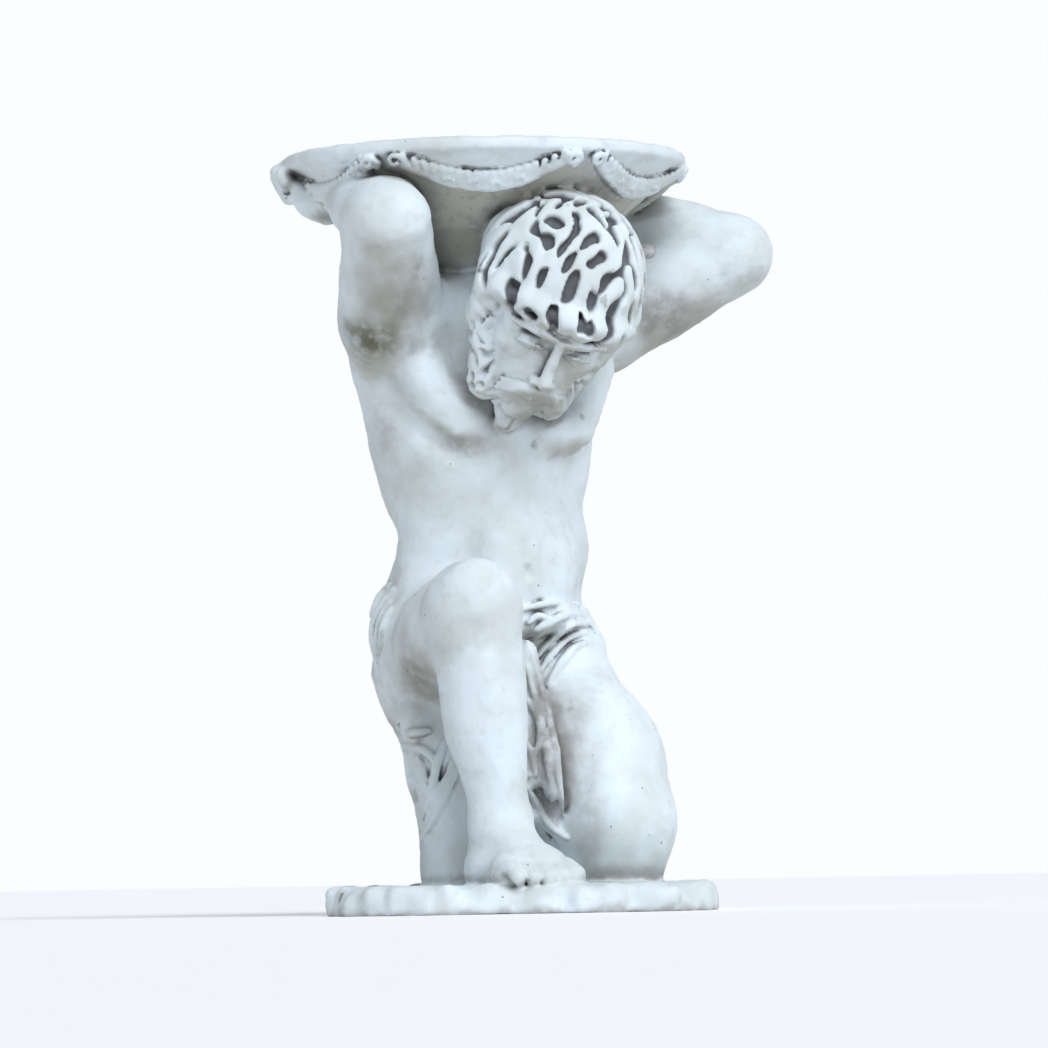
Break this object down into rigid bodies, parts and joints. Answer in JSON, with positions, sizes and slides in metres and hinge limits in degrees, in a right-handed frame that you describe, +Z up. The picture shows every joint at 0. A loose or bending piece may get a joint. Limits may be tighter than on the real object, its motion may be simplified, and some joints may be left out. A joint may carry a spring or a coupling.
{
  "type": "atlas statue",
  "caption": "Cast-stone garden statue of a kneeling bearded man who carries a round garlanded planter bowl on his shoulders, on a low rocky base.",
  "frame": {"origin": "middle of the base's flat underside", "axes": "+Z up, -Y towards the raised knee, +X towards the kneeling leg"},
  "size_m": [0.5102, 0.4794, 0.762],
  "materials": {
    "cast_stone": "weathered pale grey cast stone, matt, with grey-brown dirt in the recesses"
  },
  "bodies": {
    "root": {"statue": "cast_stone"}
  },
  "joints": []
}
